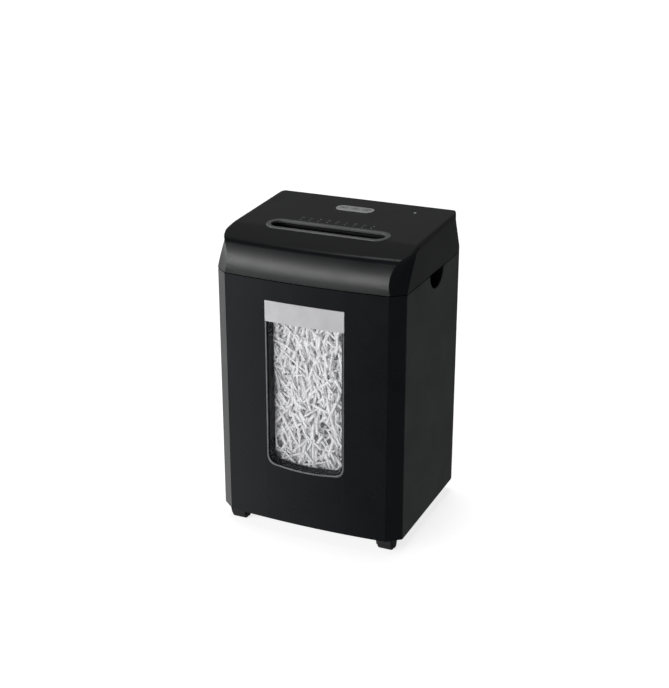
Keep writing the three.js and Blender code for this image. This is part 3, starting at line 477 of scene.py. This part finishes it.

# %% [markdown]
# The nine little lights over the slot share one milky light guide, and the status lamp is a lens of its
# own. A milky plastic lets light into its skin, so a little subsurface softens it. A faint glow of their
# own is painted light: it makes the grey lenses a little paler, with no lamp lit behind them.

# %% Milky lenses
def lens(name, colour, light):
    """Milky plastic with a faint glow of painted light."""
    made, tree, shader = start_finish(name, 0.22)
    skin = use_group(tree, grain, Scale=1200.0)
    milky = blend_colours(tree, skin.outputs["Tone"], shade(colour, 0.85), shade(colour, 1.1))
    tree.links.new(milky, shader.inputs["Base Color"])
    bump_up(tree, shader, skin.outputs["Height"], 0.01, 0.4)
    shader.inputs["Subsurface Weight"].default_value = 0.15
    shader.inputs["Subsurface Radius"].default_value = (0.002, 0.002, 0.002)
    shader.inputs["Emission Color"].default_value = shade(colour, 1.0)
    # Painted light: a faint glow in the lens's own grey, which makes it paler; no lamp lights it.
    shader.inputs["Emission Strength"].default_value = light
    return made


# Both lenses get a faint painted glow that makes them paler than their colour.
finishes["lens"] = lens("milky light guide", (0.30, 0.305, 0.31), 0.02)
finishes["lamp"] = lens("status lamp lens", (0.42, 0.43, 0.45), 0.05)
print("lenses: light guide and status lamp")

# %% [markdown]
# Shredded office paper is white with broken bits of grey print on some of the strips. Two noises are
# multiplied: fine rows that stand for words, and large patches that stand for the printed pages. The heap
# behind the strips has the same finish in a dark tone, because hardly any light reaches it.

# %% Paper
def shredded_paper(name, colour, ink):
    """Office paper: fibres in the bump, a cloudy white, and grey ink on some of the strips."""
    made, tree, shader = start_finish(name, 0.78, 0.0, 0.2)
    place = new_node(tree, "ShaderNodeTexCoord").outputs["Object"]
    cloud = spread_out(tree, patches(tree, place, scale=45.0, detail=4.0, rough=0.6), 0.30, 0.72)
    toned = blend_colours(tree, cloud, shade(colour, 0.88), shade(colour, 1.06))
    rows = new_node(tree, "ShaderNodeMapping", {"Vector": place, "Scale": (420.0, 420.0, 260.0)}).outputs[0]
    words = spread_out(tree, patches(tree, rows, scale=1.0, detail=2.0), 0.60, 0.66)
    pages = spread_out(tree, patches(tree, place, scale=30.0, detail=2.0), 0.50, 0.60)
    print_mask = maths(tree, "MULTIPLY", maths(tree, "MULTIPLY", words, pages), ink)
    inked = blend_colours(tree, print_mask, toned, (0.16, 0.16, 0.19, 1))
    tree.links.new(inked, shader.inputs["Base Color"])
    fibres = patches(tree, place, scale=1600.0, detail=5.0, rough=0.7)
    tree.links.new(spread_out(tree, fibres, 0.3, 0.7, 0.70, 0.88), shader.inputs["Roughness"])
    bump_up(tree, shader, fibres, 0.06, 0.6)
    return made


finishes["paper"] = shredded_paper("paper strips", (1.0, 0.99, 1.0), 0.35)
# The heap's dark colour is painted shade: white paper darkened to stand for the shadow deep in the bin.
finishes["paper_heap_painted_shade"] = shredded_paper("packed paper in painted shade", (0.10, 0.10, 0.11), 0.9)
print("finishes:", len(finishes))

# %% [markdown]
# The frame's pieces are exact but sharp, and no moulding or pressing has a truly sharp edge. Each one is
# copied, its loose triangles are merged and its flat faces joined up, and then a narrow bevel rounds the
# edges and weighted normals keep the flat faces flat. The bevel only takes material away, so no size
# changes. How wide it is depends on how the piece is made: wide on a moulded shell, a hair on a gear.

# %% Helpers for soft edges
MERGE_DISTANCE = 0.004 * MM
FLAT_ANGLE = math.radians(0.6)
SHARP_ANGLE = math.radians(32)


def finish_piece(name, mesh, finish, body):
    """A new object at the origin with its finish, riding on its body."""
    mesh.materials.clear()
    mesh.materials.append(finishes[finish])
    made = bpy.data.objects.new(name, mesh)
    scene.collection.objects.link(made)
    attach(made, body)
    return made


def merged_copy(node):
    """The piece's shape with its loose triangles merged and its flat faces joined."""
    shape = bmesh.new()
    shape.from_mesh(nodes[node].data)
    bmesh.ops.remove_doubles(shape, verts=shape.verts, dist=MERGE_DISTANCE)
    bmesh.ops.dissolve_limit(
        shape, angle_limit=FLAT_ANGLE, use_dissolve_boundaries=False, verts=shape.verts, edges=shape.edges
    )
    for face in shape.faces:
        face.material_index = 0
    return shape


def soften(made, edge):
    """A live bevel on the sharp edges, with smooth curves and flat flats."""
    made.data.shade_smooth()
    made.data.set_sharp_from_angle(angle=SHARP_ANGLE)
    bevel = made.modifiers.new("soft edges", "BEVEL")
    bevel.width = edge * MM
    bevel.segments = 2
    bevel.limit_method = "ANGLE"
    bevel.angle_limit = SHARP_ANGLE
    bevel.miter_outer = "MITER_ARC"
    bevel.use_clamp_overlap = True
    flats = made.modifiers.new("flat faces stay flat", "WEIGHTED_NORMAL")
    flats.keep_sharp = True
    flats.weight = 60


def softened(node, finish, edge):
    """The piece that stands for one of the frame's, with its edges rounded."""
    shape = merged_copy(node)
    mesh = bpy.data.meshes.new(node + "_finished")
    shape.to_mesh(mesh)
    shape.free()
    made = finish_piece(node + "_finished", mesh, finish, body_of_node[node])
    soften(made, edge)
    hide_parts(node)
    return made


print("soft edges: sharp from", round(math.degrees(SHARP_ANGLE)), "degrees")

# %% Soft edges for every piece
corners = ("front_left", "front_right", "rear_left", "rear_right")

# Each finish, the width of its soft edge in millimetres, and the pieces that have it.
edges_of = [
    ("shell", 0.6, ["head_cover"]),
    ("bin_front", 0.5, ["bin_front_panel"]),
    ("side", 0.9, ["side_panel_left", "side_panel_right"]),
    ("inner", 0.5, [
        "grip_cup_left", "grip_cup_right", "head_chassis", "feed_throat", "back_panel", "base_tray",
        "front_cross_rail", "bin_guide_left", "bin_guide_right", "bin_switch_body", "mains_inlet",
        *("castor_fork_" + corner for corner in corners),
    ]),
    ("bezel", 0.35, ["slot_bezel"]),
    ("key_pad", 0.4, ["control_panel"]),
    ("key", 0.35, ["button_reverse", "button_power", "button_forward"]),
    ("mark", 0.4, ["rocker_switch", "bin_switch_plunger"]),
    ("tub", 0.6, ["bin_tub"]),
    ("silver", 0.5, ["pull_plate"]),
    ("rim", 0.5, ["window_trim"]),
    ("clear", 0.25, ["window_pane"]),
    ("lens", 0.2, ["indicator_strip"]),
    ("lamp", 0.3, ["status_lamp"]),
    ("board", 0.15, ["control_board"]),
    ("motor", 0.6, ["motor_body"]),
    ("bush_brass", 0.25, ["bearing_" + corner for corner in corners]),
    ("cutter_steel", 0.12, [
        "cutter_front", "cutter_rear", "sync_gear_front", "sync_gear_rear", "drive_gear", "idler_gear",
    ]),
    ("plate_steel", 0.25, [
        "side_plate_left", "side_plate_right", "gear_plate", "stripper_comb_front", "stripper_comb_rear",
        "tie_rod_front", "tie_rod_rear", "idler_axle", "motor_rotor",
    ]),
    ("roller", 0.6, ["castor_wheel_" + corner for corner in corners]),
    ("shell", 0.5, ["corner_post_left", "corner_post_right"]),
]
soft_pieces = [softened(node, finish, edge) for finish, edge, names in edges_of for node in names]
print("softened", len(soft_pieces), "of", len(nodes), "pieces")

# %% [markdown]
# The shredded paper is what the eye goes to. It is nearly two thousand strips, about 5 mm wide, curled by
# the cutters and pressed against the window. One lumpy solid would look like plaster, and strips all the
# way through would cost millions of faces. So a heap of paper painted dark, as painted shade, gives the
# gaps their depth, and strips lie only in front of it and on top of it.

# %% Heap of packed paper
heap_low, heap_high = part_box("paper_shreds")
pane_low, pane_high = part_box("window_pane")
tub_low, tub_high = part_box("bin_tub")
SINK = 9.0 * MM
STRIP_ROOM = Vector((2 * SINK, SINK + 14 * MM, SINK + 4 * MM))
HEAP_SHIFT = Vector((0, 6 * MM, -4 * MM))
LUMPS = 60.0
LUMP_HEIGHT = 4.0 * MM
heap_shape = bmesh.new()
bmesh.ops.create_cube(heap_shape, size=1.0)
bmesh.ops.scale(heap_shape, vec=heap_high - heap_low - STRIP_ROOM, verts=heap_shape.verts)
bmesh.ops.translate(heap_shape, vec=(heap_low + heap_high) / 2 + HEAP_SHIFT, verts=heap_shape.verts)
bmesh.ops.subdivide_edges(heap_shape, edges=heap_shape.edges, cuts=30, use_grid_fill=True)
for v in heap_shape.verts:
    v.co += noise.noise_vector(v.co * LUMPS) * LUMP_HEIGHT
heap_mesh = bpy.data.meshes.new("paper_heap_painted_shade")
heap_shape.to_mesh(heap_mesh)
heap_shape.free()
# The heap's finish is paper painted dark, as painted shade between the strips.
heap = finish_piece("paper_heap_painted_shade", heap_mesh, "paper_heap_painted_shade", "bin")
heap_mesh.shade_smooth()
print("heap:", len(heap_mesh.vertices), "points")

# %% [markdown]
# One strip after another is a narrow grid that is bent to its curl, twisted, turned and laid in place. Its
# thickness comes last, from a Solidify modifier. The turns come from a seeded list, so every run lays the
# same heap. Every point is pressed back inside the tub, so no strip cuts through the pane or a wall.

# %% Helpers for the strips
luck = random.Random(41)
WINDOW_HALF = 75.5 * MM
WINDOW_FOOT = pane_low.z + 5 * MM
PANE_BACK = pane_high.y + 0.6 * MM
WALL_BACK = tub_low.y + 3.2 * MM
SIDE_ROOM = 3.5 * MM


def lay_strip(shape, middle, turn, length, width, curl, twist):
    """One strip: a narrow grid, bent to its curl, twisted, turned and laid in place."""
    laid = bmesh.ops.create_grid(shape, x_segments=7, y_segments=1, size=0.5)["verts"]
    for v in laid:
        along = v.co.x * length
        across = v.co.y * width
        bend = along * curl
        sag = (1 - math.cos(bend)) / curl
        reach = math.sin(bend) / curl
        roll = twist * v.co.x
        v.co = Vector((reach, across * math.cos(roll), sag + across * math.sin(roll)))
        v.co = middle + turn @ v.co
    return laid


def keep_behind_window(v):
    """Presses a point back to the pane, or to the tub's wall round the window."""
    seen = abs(v.co.x) < WINDOW_HALF and v.co.z > WINDOW_FOOT
    v.co.y = max(v.co.y, PANE_BACK if seen else WALL_BACK)
    v.co.x = max(tub_low.x + SIDE_ROOM, min(tub_high.x - SIDE_ROOM, v.co.x))
    v.co.y = min(v.co.y, heap_high.y)
    v.co.z = max(heap_low.z, min(heap_high.z, v.co.z))


def turned(angle, axis):
    """A turn about one axis, in degrees."""
    return Matrix.Rotation(math.radians(angle), 3, axis)


def lay_strips(name, count, spot, tilt, bend):
    """Many strips as one piece."""
    shape = bmesh.new()
    for n in range(count):
        middle = spot(n / count)
        turn = tilt()
        length = luck.uniform(34, 78) * MM
        width = luck.uniform(4.0, 6.0) * MM
        curl = luck.choice((-1, 1)) * bend()
        for v in lay_strip(shape, middle, turn, length, width, curl, luck.uniform(-1.2, 1.2)):
            keep_behind_window(v)
    mesh = bpy.data.meshes.new(name)
    shape.to_mesh(mesh)
    shape.free()
    made = finish_piece(name, mesh, "paper", "bin")
    mesh.shade_smooth()
    paper_thickness = made.modifiers.new("paper thickness", "SOLIDIFY")
    paper_thickness.thickness = 0.16 * MM
    paper_thickness.offset = 0
    print(name + ":", count, "strips,", len(mesh.polygons), "faces")
    return made


print("strips: 34 to 78 mm long, 4 to 6 mm wide")

# %% Strips behind the window
STRIP_DEPTH = 20 * MM


def window_spot(done):
    """A place behind the pane, the first strips deepest."""
    return Vector((
        luck.uniform(-82, 82) * MM,
        PANE_BACK + 1.5 * MM + (1 - done) * STRIP_DEPTH,
        luck.uniform(pane_low.z / MM - 4, heap_high.z / MM - 4) * MM,
    ))


def window_tilt():
    """Mostly upright, and nearly flat against the pane."""
    lean = luck.gauss(86, 34)
    tip = turned(luck.gauss(0, 13), "X") @ turned(luck.gauss(0, 9), "Z")
    return tip @ turned(lean, "Y") @ turned(90, "X")


window_strips = lay_strips(
    "paper_strips_window", 820, window_spot, window_tilt, lambda: luck.uniform(2, 16)
)
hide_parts("paper_shreds")

# %% Strips on top of the heap
def top_spot(done):
    """A place on top of the heap, the first strips lowest."""
    return Vector((
        luck.uniform(-152, 152) * MM,
        luck.uniform(-132, 124) * MM,
        heap_high.z - (16 - 13 * done) * MM,
    ))


def top_tilt():
    """Any way round, and nearly level."""
    tip = turned(luck.gauss(0, 16), "Y")
    return turned(luck.uniform(0, 360), "Z") @ tip


top_strips = lay_strips("paper_strips_top", 1100, top_spot, top_tilt, lambda: luck.uniform(3, 22))

# %% [markdown]
# The head's small marks are raised pads, a hair thick: three key signs, and a plain sign behind each of
# the row of lights over the slot. A picture of them would need an image, so each is drawn flat from rings
# and bars, made a little solid, and laid on the sloping top by shearing it to the slope. They are generic
# shapes that any office machine has.

# %% Helpers for marks
TOP_SLOPE = 0.046
MARK_THICK = 0.12 * MM


def slope_height(shape, foot):
    """Shears flat points up to the sloping top, which passes through foot."""
    for v in shape.verts:
        v.co.z += foot.z + (v.co.y - foot.y) * TOP_SLOPE


def add_ring(shape, x, y, outer, inner, start=0, sweep=360, steps=24):
    """A flat ring or arc, spun from one short edge, seen from above."""
    a = math.radians(start)
    ends = [shape.verts.new((x + r * math.cos(a), y + r * math.sin(a), 0)) for r in (inner, outer)]
    edge = shape.edges.new(ends)
    bmesh.ops.spin(
        shape, geom=[edge], cent=(x, y, 0), axis=(0, 0, 1), angle=math.radians(sweep),
        steps=steps, use_merge=sweep == 360, use_duplicate=False,
    )


def put(shape, laid, x, y, turn):
    """Flat points turned about the middle and moved to their place."""
    bmesh.ops.rotate(shape, cent=(0, 0, 0), matrix=turned(turn, "Z"), verts=laid)
    bmesh.ops.translate(shape, vec=(x, y, 0), verts=laid)


def add_bar(shape, x, y, length, width, turn=0):
    """A flat bar with a turn."""
    laid = bmesh.ops.create_grid(shape, x_segments=1, y_segments=1, size=0.5)["verts"]
    bmesh.ops.scale(shape, vec=(length, width, 1), verts=laid)
    put(shape, laid, x, y, turn)


def add_arrow(shape, x, y, size, turn):
    """A flat arrowhead with its tip along the turn."""
    laid = bmesh.ops.create_circle(shape, cap_ends=True, segments=3, radius=size)["verts"]
    put(shape, laid, x, y, turn - 90)


def raise_marks(name, shape, foot, finish, body):
    """Flat marks made a hair thick and laid on the slope."""
    slope_height(shape, foot)
    bmesh.ops.recalc_face_normals(shape, faces=shape.faces)
    for face in shape.faces:
        if face.normal.z < 0:
            face.normal_flip()
    made = bmesh.ops.extrude_face_region(shape, geom=list(shape.faces))
    lifted = [v for v in made["geom"] if isinstance(v, bmesh.types.BMVert)]
    bmesh.ops.translate(shape, vec=(0, 0, MARK_THICK), verts=lifted)
    bmesh.ops.recalc_face_normals(shape, faces=shape.faces)
    mesh = bpy.data.meshes.new(name)
    shape.to_mesh(mesh)
    shape.free()
    return finish_piece(name, mesh, finish, body)


print("marks:", MARK_THICK, "m thick")

# %% [markdown]
# Each of the three keys carries one sign: an arrow back, a power ring and an arrow forward. They ride on
# their keys, so that they sink when a key is pressed.

# %% Key signs
KEY_PITCH = 23
key_low, key_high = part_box("button_power")
key_y = (key_low.y + key_high.y) / 2
key_top = Vector((0, key_high.y, key_high.z - 0.04 * MM))
for key_name, side in (("reverse", -1), ("power", 0), ("forward", 1)):
    x = side * KEY_PITCH
    sign = bmesh.new()
    if key_name == "power":
        add_ring(sign, 0, key_y, 3.6 * MM, 2.7 * MM, 125, 290)
        add_bar(sign, 0, key_y + 2.6 * MM, 0.9 * MM, 4.2 * MM)
    else:
        add_arrow(sign, (x + 2.0 * side) * MM, key_y, 2.7 * MM, 90 - 90 * side)
        add_bar(sign, (x - 1.6 * side) * MM, key_y, 4.4 * MM, 1.2 * MM)
    raise_marks("sign_" + key_name, sign, key_top, "mark", "button_" + key_name)
print("key signs: 3")

# %% [markdown]
# Behind each light over the slot is a small pale sign. Three plain shapes take turns along the row: a
# barred ring, a tray and an arrow.

# %% Signs over the slot
SIGN_COUNT = 9
SIGN_PITCH = 18 * MM
TOP_BACK = Vector((0, 0.134, 0.603))
sign_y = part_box("indicator_strip")[1].y + 7 * MM
row = bmesh.new()
for n in range(SIGN_COUNT):
    x = (n - (SIGN_COUNT - 1) / 2) * SIGN_PITCH
    if n % 3 == 0:
        add_ring(row, x, sign_y, 3.0 * MM, 2.0 * MM)
        add_bar(row, x, sign_y, 2.6 * MM, 0.9 * MM, 45)
    elif n % 3 == 1:
        add_bar(row, x - 1.8 * MM, sign_y, 1.0 * MM, 5.4 * MM)
        add_bar(row, x + 1.8 * MM, sign_y, 1.0 * MM, 5.4 * MM)
        add_bar(row, x, sign_y - 2.2 * MM, 2.6 * MM, 1.0 * MM)
    else:
        add_arrow(row, x, sign_y + 1.1 * MM, 2.4 * MM, 90)
        add_bar(row, x, sign_y - 1.8 * MM, 1.1 * MM, 2.8 * MM)
raise_marks("signs_over_slot", row, TOP_BACK, "pale_mark", "cabinet")
print("signs over the slot:", SIGN_COUNT)

# %% [markdown]
# Three pan-head screws hold the leaning back wall of the head. A screw is a short disc with a rounded top
# edge. Its cross is a thin dark pad, painted shade that stands for the shadow in a cut recess; at this size
# it reads the same as a cut one and needs no cutting of the disc. Each is built upright and then turned
# onto the back's lean.

# %% Screws
BACK_Y = 0.161
LEAN_FOOT = 0.530
LEAN_DEPTH = 0.011
LEAN_HEIGHT = 0.060
SCREW_Z = 0.578
HEAD_RADIUS = 3.6 * MM
HEAD_THICK = 1.6 * MM
PAINTED_SHADE_CROSS_SIZE = (3.4 * MM, 0.8 * MM, 0.12 * MM)


def back_wall_y(z):
    """How far back the leaning wall is at a height, in metres."""
    return BACK_Y - LEAN_DEPTH * (z - LEAN_FOOT) / LEAN_HEIGHT


def add_screw(shape, place, turn):
    """A pan head with a dark cross of painted shade in its top, its top along local Z, put in place."""
    head = bmesh.ops.create_cone(
        shape, cap_ends=True, cap_tris=False, segments=24, radius1=HEAD_RADIUS, radius2=HEAD_RADIUS,
        depth=HEAD_THICK,
    )["verts"]
    top = max((f for v in head for f in v.link_faces), key=lambda f: f.calc_center_median().z)
    made = bmesh.ops.bevel(
        shape, geom=list(top.edges), offset=0.9 * MM, segments=3, profile=0.5, affect="EDGES",
        material=-1, clamp_overlap=True,
    )
    head = list({v for v in head if v.is_valid} | set(made["verts"]))
    for spin in (0, 90):
        cross = bmesh.ops.create_cube(shape, size=1.0)["verts"]
        bmesh.ops.scale(shape, vec=PAINTED_SHADE_CROSS_SIZE, verts=cross)
        bmesh.ops.rotate(shape, cent=(0, 0, 0), matrix=turned(spin, "Z"), verts=cross)
        bmesh.ops.translate(shape, vec=(0, 0, HEAD_THICK / 2), verts=cross)
        head += cross
        # The cross takes the second, dark finish: painted shade for a cut recess.
        for face in {f for v in cross for f in v.link_faces}:
            face.material_index = 1
    bmesh.ops.transform(shape, matrix=Matrix.Translation(place) @ turn.to_4x4(), verts=head)


screws = bmesh.new()
leaning = Matrix.Rotation(-math.radians(90) + math.atan2(LEAN_DEPTH, LEAN_HEIGHT), 3, "X")
for x in (-0.140, 0.0, 0.140):
    add_screw(screws, Vector((x, back_wall_y(SCREW_Z) + 0.4 * MM, SCREW_Z)), leaning)
screw_mesh = bpy.data.meshes.new("back_screws")
screws.to_mesh(screw_mesh)
screws.free()
back_screws = finish_piece("back_screws", screw_mesh, "plate_steel", "cabinet")
# The second finish is the dark mark, used here as painted shade in the screws' crosses.
screw_mesh.materials.append(finishes["mark"])
print("screws:", len(screw_mesh.polygons), "faces")

# %% [markdown]
# The mains inlet at the back has three flat pins inside it, two side by side and one above. Each is a
# stretched cube with its edges rounded over, which is all that can be seen down the socket.

# %% Inlet pins
inlet_low, inlet_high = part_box("mains_inlet")
PIN_SIZE = (2.0 * MM, 13 * MM, 4.0 * MM)
pins = bmesh.new()
pin_middle = Vector((
    (inlet_low.x + inlet_high.x) / 2, inlet_high.y - 12 * MM, (inlet_low.z + inlet_high.z) / 2,
))
for dx, dz in ((-7, -2), (7, -2), (0, 2)):
    pin = bmesh.ops.create_cube(pins, size=1.0)["verts"]
    bmesh.ops.scale(pins, vec=PIN_SIZE, verts=pin)
    bmesh.ops.translate(pins, vec=pin_middle + Vector((dx, 0, dz)) * MM, verts=pin)
bmesh.ops.bevel(
    pins, geom=list(pins.edges), offset=0.35 * MM, segments=2, profile=0.5, affect="EDGES", material=-1,
    clamp_overlap=True,
)
pin_mesh = bpy.data.meshes.new("inlet_pins")
pins.to_mesh(pin_mesh)
pins.free()
inlet_pins = finish_piece("inlet_pins", pin_mesh, "bush_brass", "cabinet")
print("pins:", len(pin_mesh.polygons), "faces")
